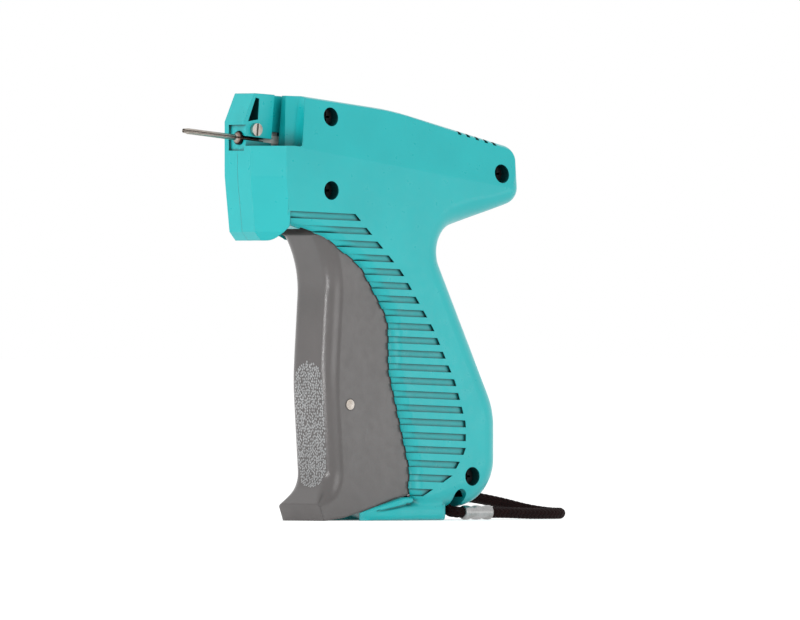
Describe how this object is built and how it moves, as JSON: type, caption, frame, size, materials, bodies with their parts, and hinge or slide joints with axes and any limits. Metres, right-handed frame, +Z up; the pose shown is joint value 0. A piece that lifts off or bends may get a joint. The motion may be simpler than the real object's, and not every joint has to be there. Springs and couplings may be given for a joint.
{
  "type": "garment tag attacher",
  "caption": "Hand-held tag attacher: pistol-shaped plastic housing with a hollow slotted needle, a trigger, a drive lever, an ejector slide, a feed wheel and a wrist loop.",
  "frame": {"origin": "middle of the flat under the handle's foot, in the plane where the housing's halves meet", "axes": "-X the way the needle points, -Y the tool's left side, which has the feed slot and the screws, +Z up along the handle"},
  "size_m": [0.1584, 0.0328, 0.1364],
  "materials": {
    "casing": "fine moulded satin",
    "trigger": "semi-gloss moulded",
    "inner_plastic": "moulded",
    "white_plastic": "moulded",
    "steel": "drawn",
    "screw_steel": "blackened",
    "cord": "braided",
    "crimp": "pressed"
  },
  "bodies": {
    "casing": {"casing_left": "casing", "casing_right": "casing", "casing_screws": "screw_steel", "trigger_pivot_pin": "steel", "lever_pivot_pin": "steel", "feed_wheel_axle": "steel", "needle": "steel", "knife_blade": "steel", "anti_backup_spring": "steel", "return_spring": "steel", "strap_bar": "steel", "wrist_cord": "cord", "crimp_sleeve": "crimp"},
    "trigger": {"trigger": "trigger", "trigger_drive_pin": "steel"},
    "lever": {"drive_lever": "inner_plastic"},
    "ejector": {"ejector_slide": "inner_plastic", "ejector_rod": "steel"},
    "index": {"index_slider": "white_plastic", "feed_pawl": "steel"},
    "feed": {"feed_wheel": "white_plastic"},
    "lock": {"needle_lock": "steel"}
  },
  "joints": [
    {"name": "trigger_squeeze", "type": "hinge", "parent": "casing", "child": "trigger", "pos_m": [-0.052, 0, 0.0972], "axis": [0, -1, 0], "range_deg": [0, 15.5], "stiffness_Nm_per_rad": 0.6, "springref_deg": -14.32},
    {"name": "lever_swing", "type": "hinge", "parent": "casing", "child": "lever", "pos_m": [-0.026, 0, 0.06], "axis": [0, -1, 0], "range_deg": [0, 40], "deforming": ["return_spring"]},
    {"name": "ejector_travel", "type": "slide", "parent": "casing", "child": "ejector", "axis": [-0.9954, 0, 0.0958], "range_m": [0, 0.04]},
    {"name": "index_travel", "type": "slide", "parent": "casing", "child": "index", "axis": [-0.0958, 0, -0.9954], "range_m": [0, 0.0024], "deforming": ["feed_pawl"]},
    {"name": "feed_wheel_spin", "type": "hinge", "parent": "casing", "child": "feed", "pos_m": [-0.06406, 0.0054, 0.12105], "axis": [0.9954, 0, -0.0958], "continuous": true, "deforming": ["anti_backup_spring"]},
    {"name": "needle_lock_turn", "type": "hinge", "parent": "casing", "child": "lock", "pos_m": [-0.07133, 0, 0.12477], "axis": [0, -1, 0], "range_deg": [0, 90]}
  ],
  "couplings": [
    {"joint": "lever_swing", "follows": "trigger_squeeze", "ratio": 2.5725},
    {"joint": "ejector_travel", "follows": "trigger_squeeze", "m_per_rad": 0.14747},
    {"joint": "index_travel", "follows": "trigger_squeeze", "m_per_rad": 0.008654}
  ]
}
